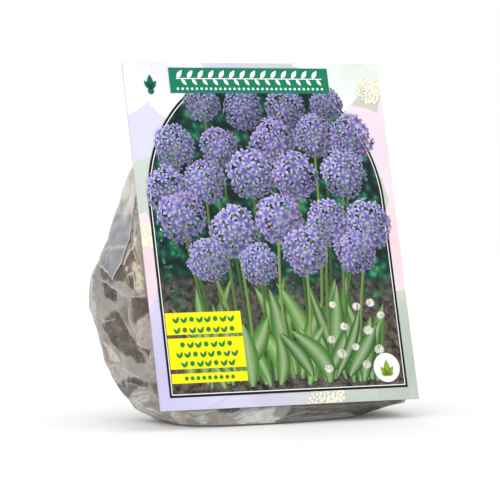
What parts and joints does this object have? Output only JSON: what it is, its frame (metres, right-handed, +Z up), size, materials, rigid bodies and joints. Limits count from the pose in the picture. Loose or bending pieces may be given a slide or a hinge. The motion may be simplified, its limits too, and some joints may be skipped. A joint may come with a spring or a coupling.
{
  "type": "film bag of flower bulbs with a printed card",
  "caption": "Clear film bag of flower bulbs bedded in dry peat, standing on its flat base, with a stiff card that leans back over its front.",
  "frame": {"origin": "middle of the whole pack's footprint, on the surface it stands on", "axes": "+Z up, -Y towards the viewer of the card, +X to the card's right as it is read"},
  "size_m": [0.1858, 0.0946, 0.2045],
  "materials": {
    "card": "offset-printed coated card, satin",
    "adhesive": "double-sided tape",
    "film": "clear polythene film, creased, hazy and glossy",
    "peat": "dry crumbly peat with fine wood fibre",
    "bulb": "papery tan skin, satin"
  },
  "bodies": {
    "root": {"printed_card": "card", "adhesive_strip_lower": "adhesive", "adhesive_strip_upper": "adhesive", "film_pouch": "film", "peat_fill": "peat", "bulb_01": "bulb", "bulb_02": "bulb", "bulb_03": "bulb", "bulb_04": "bulb", "bulb_05": "bulb", "bulb_06": "bulb", "bulb_07": "bulb", "bulb_08": "bulb", "bulb_09": "bulb", "bulb_10": "bulb", "bulb_11": "bulb", "bulb_12": "bulb", "bulb_13": "bulb", "bulb_14": "bulb", "bulb_15": "bulb"}
  },
  "joints": []
}
